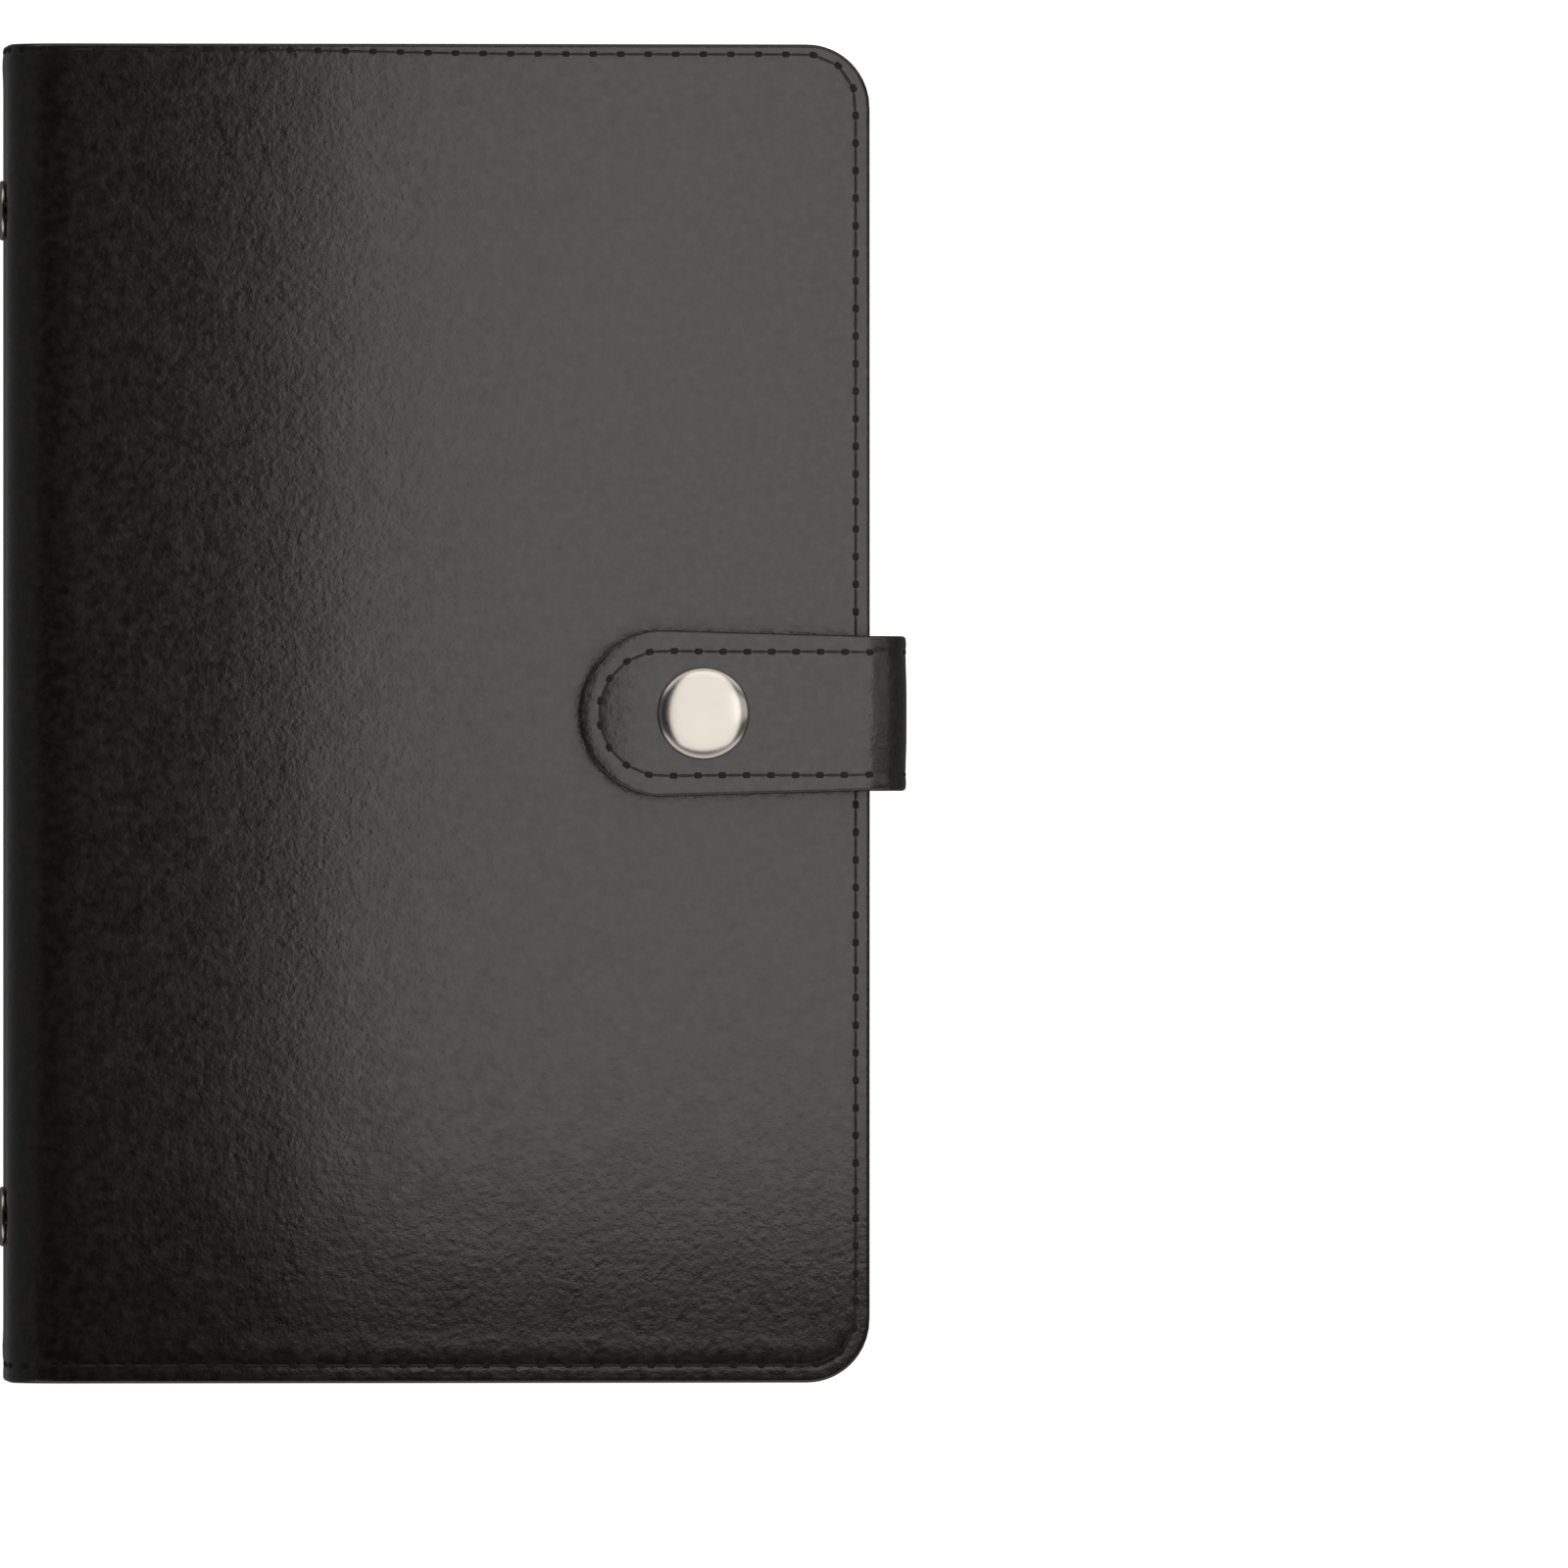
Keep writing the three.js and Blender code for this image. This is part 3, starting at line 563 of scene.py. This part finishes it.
STRAP_EDGE = [0, 0.05, 0.14, 0.28, 0.42, 0.6, 0.9, 1.3, 1.7, 2.0, 2.3, 2.6, 2.9, 3.2, 3.5, 3.9, 4.6, 5.6, 6.8, 8.2,
              9.8]


def strap_grid(side):
    """Rows along the strap, finer at its round tip, and columns that are fine near the edges."""
    tips = [STRAP_TIP_R * (1 - math.cos(a)) for a in np.linspace(0.02, math.pi / 2, 34)]
    qs = tips + list(np.linspace(STRAP_TIP_R, STRAP_RUN, 96))[1:]
    grid = []
    for q in qs:
        half = strap_half(q)
        places = [half - d * min(1.0, half / 10.6) for d in STRAP_EDGE]
        ws = [-p for p in places] + [0.0] + list(reversed(places))
        grid.append([tuple(strap_surface(q, w, side)) for w in ws])
    return grid


strap_verts, strap_faces = closed_sheet(strap_grid(1), strap_grid(-1))
strap = mesh_piece("strap_leather", strap_verts, strap_faces, leather)


def strap_knots():
    """Knots of the strap's seam, down one side, round the tip and back."""
    line = []
    last = FOLD_AT + 24
    r = STRAP_TIP_R - strap_margin(0)
    for q in np.arange(last, STRAP_TIP_R, -0.8):
        line.append((q, strap_half(q) - strap_margin(q)))
    for a in np.linspace(math.pi / 2, -math.pi / 2, 30):
        line.append((STRAP_TIP_R - r * math.cos(a), r * math.sin(a)))
    for q in np.arange(STRAP_TIP_R, last, 0.8):
        line.append((q, -(strap_half(q) - strap_margin(q))))
    knots = []
    for p in even_points([(q, w, 0) for q, w in line], STRAP_STITCH):
        knots.append((tuple(strap_surface(p.x, p.y, 1)), tuple(strap_at(p.x)[1])))
    return knots


# The strap's seam thread and its dark marks of painted hole shade.
strap_thread, strap_hole_shade = sewn("strap_seam", strap_knots())
for made in (strap, strap_thread, strap_hole_shade):
    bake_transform(made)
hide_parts("strap")


def closed_tube(rings, sides):
    """Faces of a tube through rings of points, closed at both ends."""
    faces = []
    for i in range(rings - 1):
        for k in range(sides):
            a, b = i * sides + k, i * sides + (k + 1) % sides
            faces.append((a, b, b + sides, a + sides))
    faces.append(tuple(reversed(range(sides))))
    faces.append(tuple((rings - 1) * sides + k for k in range(sides)))
    return faces


# Turned metal pieces
def turned(name, profile, centre, axis, look, sides=96):
    """A turned piece. Its profile is radius and height along axis from centre."""
    axis = Vector(axis).normalized()
    side = axis.orthogonal().normalized()
    other = axis.cross(side)
    verts = []
    for r, h in profile:
        r = max(r, 1e-3)
        for k in range(sides):
            a = 2 * math.pi * k / sides
            verts.append(tuple(Vector(centre) + axis * h + side * (r * math.cos(a)) + other * (r * math.sin(a))))
    return mesh_piece(name, verts, closed_tube(len(profile), sides), look)


def domed(radius, height, lip):
    """A pressed dome, flatter in the middle, over a short upright lip."""
    crown = [(radius * math.sin(a), lip + (height - lip) * math.cos(a) ** 0.9)
             for a in np.linspace(math.pi / 2, 0, 40)]
    return [(radius - 0.25, 0.0), (radius - 0.08, 0.06), (radius, 0.2)] + crown


DOME_LIP = 0.3
cap_post = [(0, -CAP_POST), (CAP_POST_R, -CAP_POST), (CAP_POST_R, 0.0)]
cap = turned("snap_cap_dome", cap_post + domed(CAP_R, CAP_RISE, DOME_LIP),
             (SNAP_X, 0, STRAP_TOP + METAL_LIFT), (0, 0, 1), nickel)
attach(cap, "strap_flap")
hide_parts("snap_cap")
rivet_shank = [(0, -7.6), (2.4, -7.6), (2.8, -7.1), (2.8, -6.95), (1.6, -6.95), (1.6, 0.0)]
for i, y in enumerate(RIVETS):
    rivet = turned(f"spine_rivet_{i + 1}", rivet_shank + domed(RIVET_R, RIVET_RISE, DOME_LIP),
                   (SPINE_X - METAL_LIFT, y, MID_Z), (-1, 0, 0), nickel, 72)
    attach(rivet, "spine")
    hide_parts(f"plate_rivet_{i + 1}")


# Round wire for the rings
def wire(name, points, look, sides=20):
    """A round wire along points that lie in one plane across Y, with its first end softened."""
    points = [Vector(p) for p in points]
    verts = []
    for i, p in enumerate(points):
        r = WIRE_R * (0.86 if i == 0 else 1.0)
        way = (points[min(i + 1, len(points) - 1)] - points[max(i - 1, 0)]).normalized()
        across = way.cross(Vector((0, 1, 0))).normalized()
        for k in range(sides):
            a = 2 * math.pi * k / sides
            verts.append(tuple(p + across * (r * math.cos(a)) + Vector((0, r * math.sin(a), 0))))
    return mesh_piece(name, verts, closed_tube(len(points), sides), look)


def half_ring(side):
    """X and Z along one half ring, from the tip round to its foot under the plate."""
    bent = [(RING_X + RING_R * math.cos(a), MID_Z + side * RING_R * math.sin(a))
            for a in [0.006, 0.02] + list(np.linspace(0.06, RING_SWEEP, 36))]
    x, z = bent[-1]
    run = (x - RING_FOOT) / math.sin(RING_SWEEP)
    return bent + [(x - math.sin(RING_SWEEP) * run, z + side * math.cos(RING_SWEEP) * run)]


for side, word in ((1, "front"), (-1, "back")):
    for i, y in enumerate(RINGS):
        made = wire(f"ring_{word}_{i + 1}", [(x, y, z) for x, z in half_ring(side)], nickel)
        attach(made, "rings_" + word)
        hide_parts(f"half_ring_{word}_{i + 1}")


# CAD pieces that keep their shape and get their finish here
def finish_nodes(look, *names):
    """Give CAD nodes their material."""
    for name in names:
        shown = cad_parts[name]
        shown.data.materials.clear()
        shown.data.materials.append(look)


finish_nodes(lining, "card_pocket_upper", "card_pocket_lower")
finish_nodes(board, "front_cover_board", "back_cover_board", "spine_board")
finish_nodes(nickel, "snap_stud", "snap_stud_backing", "snap_socket", "ring_plate", "ring_blade_front",
             "ring_blade_back", "opening_lever_top", "opening_lever_bottom")
finish_nodes(film, *[f"envelope_{i}" for i in range(1, 9)])


# Floor, light and camera
def floor_look():
    """White to the camera, with a pale diffuse part that takes the object's shadow, and an even dim glow to
    everything else.
    """
    made = bpy.data.materials.new("white_floor")
    made.use_nodes = True
    tree = made.node_tree
    tree.nodes.clear()
    out = tree.nodes.new("ShaderNodeOutputMaterial")
    seen = node(tree, "ShaderNodeLightPath")
    paper = node(tree, "ShaderNodeBsdfDiffuse", {"Color": (0.5, 0.5, 0.5)})
    glow = node(tree, "ShaderNodeEmission", {"Color": (1, 1, 1), "Strength": 0.95})
    bright = node(tree, "ShaderNodeAddShader", {0: paper, 1: glow})
    dim = node(tree, "ShaderNodeEmission", {"Color": (1, 1, 1), "Strength": 0.12})
    plug(tree, out.inputs["Surface"], node(tree, "ShaderNodeMixShader", {0: seen, 1: dim, 2: bright}))
    return made


FLOOR, FLOOR_Z = 6000, -0.3
corners = [(-FLOOR, -FLOOR, FLOOR_Z), (FLOOR, -FLOOR, FLOOR_Z), (FLOOR, FLOOR, FLOOR_Z), (-FLOOR, FLOOR, FLOOR_Z)]
floor = mesh_piece("floor", corners, [(0, 1, 2, 3)], floor_look(), smooth=False)

# A dim room with a bright window at each end, white to the camera
world = bpy.data.worlds.new("studio")
bpy.context.scene.world = world
world.use_nodes = True
sky = world.node_tree
sky.nodes.clear()
sky_out = sky.nodes.new("ShaderNodeOutputWorld")
seen = node(sky, "ShaderNodeLightPath")
white = node(sky, "ShaderNodeBackground", {"Color": (1, 1, 1), "Strength": 1.0})
ceiling = node(sky, "ShaderNodeBackground", {"Color": (0.97, 0.98, 1), "Strength": 0.006})
walls = node(sky, "ShaderNodeBackground", {"Color": (1, 0.97, 0.94), "Strength": 0.12})
windows = node(sky, "ShaderNodeBackground", {"Color": (1, 0.95, 0.91), "Strength": 1.0})
way = node(sky, "ShaderNodeTexCoord", out="Generated")
height = node(sky, "ShaderNodeSeparateXYZ", {0: way}, out="Z")
sideways = node(sky, "ShaderNodeSeparateXYZ", {0: way}, out="Y") ** 2
ends = node(sky, "ShaderNodeMixShader", {0: sideways.stretch(0.12, 0.35), 1: walls, 2: windows})
room = node(sky, "ShaderNodeMixShader", {0: height.stretch(0.35, 0.80), 1: ends, 2: ceiling})
plug(sky, sky_out.inputs["Surface"], node(sky, "ShaderNodeMixShader", {0: seen, 1: room, 2: white}))


def soft_light(name, at, aim, size, power, colour):
    """A rectangular lamp at one place, turned to another."""
    data = bpy.data.lights.new(name, "AREA")
    data.shape = "RECTANGLE"
    data.size, data.size_y = size
    data.energy = power
    data.color = colour
    made = bpy.data.objects.new(name, data)
    made.location = at
    made.rotation_euler = (Vector(aim) - Vector(at)).to_track_quat("-Z", "Y").to_euler()
    made.visible_camera = False
    bpy.context.scene.collection.objects.link(made)
    return made


soft_light("right_panel", (0.245, 0.03, 0.20), (0.03, 0.02, 0.03), (0.12, 0.24), 0.060, (1.0, 0.95, 0.90))
soft_light("over_panel", (0.052, 0.040, 0.13), (0.052, 0.040, 0.0), (0.132, 0.236), 0.153, (1.0, 0.955, 0.91))

# Camera: far off and tilted a little, so that the spine's rivets show as in the photo
TILT = math.radians(4.0)
FRAME_MM = 222.4
DISTANCE = 4.5
FRAME_PX = 1600
FORE_EDGE_PX, MIDDLE_PX = 888, 728
camera_data = bpy.data.cameras.new("camera")
camera_data.sensor_width = 36
camera_data.lens = 36 * DISTANCE / (FRAME_MM * MM)
camera = bpy.data.objects.new("camera", camera_data)
bpy.context.scene.collection.objects.link(camera)
pixel = FRAME_MM / FRAME_PX
across = Vector((math.cos(TILT), 0, math.sin(TILT)))
toward = Vector((-math.sin(TILT), 0, math.cos(TILT)))
fore = Vector((FORE_X, 0, THICK)).dot(across)
aim = across * (fore - (FORE_EDGE_PX - FRAME_PX / 2) * pixel) * MM + toward * THICK * MM
aim.y = -(FRAME_PX / 2 - MIDDLE_PX) * pixel * MM
camera.location = aim + toward * DISTANCE
camera.rotation_euler = (0, -TILT, 0)
camera_data.clip_end = 50
bpy.context.scene.camera = camera
bpy.context.scene.view_settings.view_transform = "Standard"
